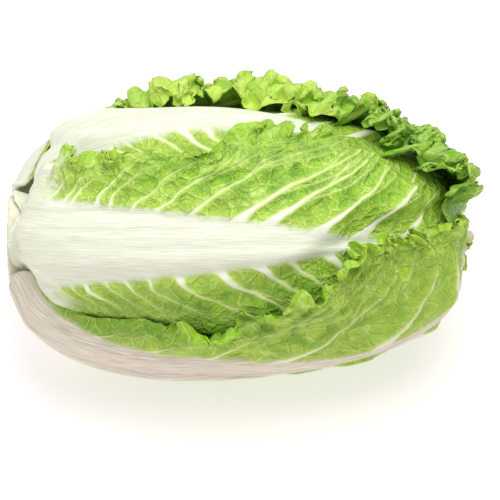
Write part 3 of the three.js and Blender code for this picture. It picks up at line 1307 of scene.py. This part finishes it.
@dataclass
class Head:
    """All the leaves round the stem core, from the outermost in."""

    form: HeadForm = field(default_factory=HeadForm)
    core: StemCore = field(default_factory=StemCore)
    golden_angle: float = 137.5
    inner_past: float = -11.0
    past_step: float = 2.6
    wrapping_count: int = 10
    heart_count: int = 6

    def outer_leaves(self) -> list[Leaf]:
        """The five outer leaves, each with its own outline, veins and frill.

        Each shape is the turn, the half widths at base, waist and crown, the waist's place as a
        share of the way to the shoulder, and how far the leaf goes past the tip's pole.

        Returns:
            The leaves, from the outermost in.
        """
        common = dict(rib_thick=6.0, rib_half=31.0, gap=4.6, base_slope=18.0, crown_slope=22.0)
        shapes = [
            (-23.0, 32.0, 44.0, 90.0, 0.5, 3.0),
            (178.0, 40.0, 68.0, 95.0, 0.5, 24.0),
            (45.0, 54.0, 58.0, 86.0, 0.5, -20.0),
            (-90.0, 42.0, 60.0, 84.0, 0.55, -23.0),
            (112.0, 44.0, 62.0, 84.0, 0.55, -33.0),
        ]
        outlines = [
            Outline(*sizes, self.form.pole_to_pole + past, waist_share=share, **common)
            for *sizes, share, past in shapes
        ]
        frills = [
            Frill(
                lift=3.0, wave=5.0, curl=4.2, jag=4.5, crinkle=3.2, reach_in=11.0, rise=0.15,
                start=120.0, hug=6.5,
            ),
            Frill(
                lift=10.0, wave=7.0, curl=6.0, jag=5.0, crinkle=5.5, reach_in=19.0, roll=12.0,
                rise=0.8, start=90.0,
            ),
            Frill(lift=3.0, wave=4.8, curl=4.2, jag=6.0, crinkle=2.4, reach_in=11.0, start=30.0),
            Frill(lift=1.0, wave=2.5, curl=2.2, jag=3.5, reach_in=10.0, start=90.0),
            Frill(lift=3.0, wave=4.4, curl=4.0, jag=4.0, crinkle=1.6, reach_in=13.0, start=60.0),
        ]
        sparse = Veins(
            spacing=20.0, spread=0.17, base_lean=1.5, crown_lean=1.2, sweep=0.007, width=2.8,
            forks=0.6,
        )
        veins = [sparse] + [Veins()] * (len(shapes) - 1)
        slot = Whorl.OUTER.value
        return [
            Leaf(f"{slot}_{i + 1}", slot, *shape, Detail.FINE, 100 * i + 7)
            for i, shape in enumerate(zip(outlines, frills, veins))
        ]

    def following(
        self, leaves: list[Leaf], whorl: Whorl, count: int, sizes: dict, detail: Detail
    ) -> None:
        """Add leaves that follow round the stem by the golden angle, each a little shorter.

        Args:
            leaves: the leaves so far, which the new ones are added to.
            whorl: the sort of leaf.
            count: how many to add.
            sizes: the sizes of their outline.
            detail: their grid steps.
        """
        slope = self.form.cap_arc - Outline.margin_clearance - sizes["crown"]
        for index in range(1, count + 1):
            turn = leaves[-1].outline.turn - self.golden_angle
            past = self.inner_past - self.past_step * (len(leaves) - self.core.sheathed)
            reach = self.form.pole_to_pole + past
            outline = Outline(turn=turn, reach=reach, base_slope=50.0, crown_slope=slope, **sizes)
            name = f"{whorl.value}_{index}"
            seed = 1000 + 100 * len(leaves)
            leaves.append(Leaf(name, whorl.value, outline, Frill(), Veins(), detail, seed))

    def leaves(self) -> list[Leaf]:
        """Every leaf of the head.

        Returns:
            The leaves, from the outermost in.
        """
        leaves = self.outer_leaves()
        wrapping = dict(base=30.0, waist=64.0, crown=76.0, rib_thick=3.5, rib_half=22.0, gap=4.6)
        heart = dict(base=30.0, waist=74.0, crown=80.0, rib_thick=2.0, rib_half=18.0, gap=6.4)
        self.following(leaves, Whorl.WRAPPING, self.wrapping_count, wrapping, Detail.MEDIUM)
        self.following(leaves, Whorl.HEART, self.heart_count, heart, Detail.COARSE)
        return leaves

    @staticmethod
    def finishes() -> dict[str, bpy.types.Material]:
        """The leaves' materials.

        Returns:
            The materials by slot, and by node for the two leaves that have their own.
        """
        return {
            # The lowest leaf's rib colours are darkened and warmed as painted shade and painted
            # floor bounce on its downward-facing rib.
            "outer_leaf_1": LeafFinish(
                "Lowest_leaf", rib=linear(240, 233, 218), rib_shade=linear(200, 189, 166),
                blade=linear(178, 216, 64), deep=linear(110, 164, 28), tip=linear(168, 210, 56),
            ).dress(),
            # The frilled leaf's very dark tip green is partly the leaf's own darker tip and partly
            # painted shade in its cupped end.
            "outer_leaf_2": LeafFinish(
                "Frilled_leaf", blade=linear(184, 230, 66), deep=linear(104, 170, 20),
                margin=linear(220, 246, 104), tip=linear(80, 158, 6),
            ).dress(),
            Whorl.OUTER.value: LeafFinish("Outer_leaf").dress(),
            Whorl.WRAPPING.value: LeafFinish(
                "Wrapping_leaf", blade=linear(172, 208, 74), deep=linear(128, 178, 48),
                tip=linear(172, 208, 74),
            ).dress(),
            Whorl.HEART.value: LeafFinish(
                "Heart_leaf", blade=linear(226, 230, 132), deep=linear(205, 216, 96),
                margin=linear(226, 232, 120), tip=linear(222, 228, 120),
            ).dress(),
        }

    def build(self) -> None:
        """Build the core and every leaf, and put each on the frame."""
        place = Place.from_core(self.form, self.core)
        attach(self.core.build(place, StemFinish()), "stem_core")
        finishes = self.finishes()
        leaves = self.leaves()
        for order, leaf in enumerate(leaves):
            above = [outer.outline for outer in leaves[:order]]
            finish = finishes.get(leaf.node, finishes[leaf.slot])
            attach(leaf.build(place, above, self.core, finish), leaf.node)


def attach(piece: bpy.types.Object, node: str) -> None:
    """Put a piece on the frame in place of its node, and report it.

    Args:
        piece: the object.
        node: the node that it replaces.
    """
    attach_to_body(piece, "root")
    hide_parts(node)
    log.info("%s: %d faces", piece.name, len(piece.data.polygons))


@dataclass
class Studio:
    """The pale floor, the soft lights and the camera, in metres and degrees.

    The camera sees `width` across at the head's middle, which is moved in the view by `aim`. The
    lights look at a point `light_aim` above the floor.
    """

    elevation: float = 48.0
    distance: float = 2.4
    width: float = 0.311
    aim: tuple[float, float] = (0.0045, -0.0075)
    sensor: float = 36.0
    middle_height: float = 0.083
    light_aim: float = 0.08
    floor_half: float = 6.0
    floor_glow: float = 0.62
    room_light: float = 0.46

    def floor(self) -> None:
        """Lay a wide pale floor under the head."""
        corners = np.array([[-1.0, -1.0, 0.0], [1.0, -1.0, 0.0], [1.0, 1.0, 0.0], [-1.0, 1.0, 0.0]])
        s = Shader("Floor")
        s.set(Base_Color=linear(197, 185, 190), Roughness=0.95)
        s.set(Emission_Color=(1.0, 0.99, 0.97), Emission_Strength=self.floor_glow)
        square = np.array([[0, 1, 2, 3]])
        make_mesh("Floor", self.floor_half * corners, square, s.material)

    def light(self, name: str, place: tuple, size: float, power: float) -> None:
        """Hang a square soft light that looks at the head.

        Args:
            name: the light's name.
            place: its middle.
            size: length of its side.
            power: watts.
        """
        data = bpy.data.lights.new(name, "AREA")
        data.size = size
        data.energy = power
        lamp = bpy.data.objects.new(name, data)
        lamp.location = place
        aim = Vector((0.0, 0.0, self.light_aim)) - Vector(place)
        lamp.rotation_euler = aim.to_track_quat("-Z", "Y").to_euler()
        bpy.context.scene.collection.objects.link(lamp)

    def surroundings(self) -> None:
        """Fill the room with even white light."""
        world = bpy.data.worlds.new("Room")
        world.use_nodes = True
        background = world.node_tree.nodes["Background"]
        background.inputs["Color"].default_value = (1.0, 1.0, 1.0, 1.0)
        background.inputs["Strength"].default_value = self.room_light
        bpy.context.scene.world = world
        bpy.context.scene.view_settings.view_transform = "Standard"

    def camera(self) -> None:
        """Set the camera above the front of the head, looking down at it."""
        data = bpy.data.cameras.new("Camera")
        data.sensor_width = self.sensor
        data.lens = self.sensor * self.distance / self.width
        tilt = math.radians(self.elevation)
        middle = Vector((0.0, 0.0, self.middle_height))
        up = Vector((0.0, math.sin(tilt), math.cos(tilt)))
        target = middle + Vector((self.aim[0], 0.0, 0.0)) + self.aim[1] * up
        back = Vector((0.0, -math.cos(tilt), math.sin(tilt)))
        camera = bpy.data.objects.new("Camera", data)
        camera.location = target + self.distance * back
        camera.rotation_euler = (-back).to_track_quat("-Z", "Y").to_euler()
        bpy.context.scene.collection.objects.link(camera)
        bpy.context.scene.camera = camera

    def build(self) -> None:
        """Set up the whole studio."""
        self.floor()
        self.surroundings()
        self.light("Top_light", (0.15, 0.1, 1.5), 1.2, 19.0)
        self.light("Stem_end_light", (-1.5, -0.5, 0.5), 0.8, 3.0)
        self.camera()


def main() -> None:
    """Build the studio and the head, in that order."""
    logging.basicConfig(level=logging.INFO, format="%(message)s")
    Studio().build()
    Head().build()


if __name__ == "__main__":
    main()
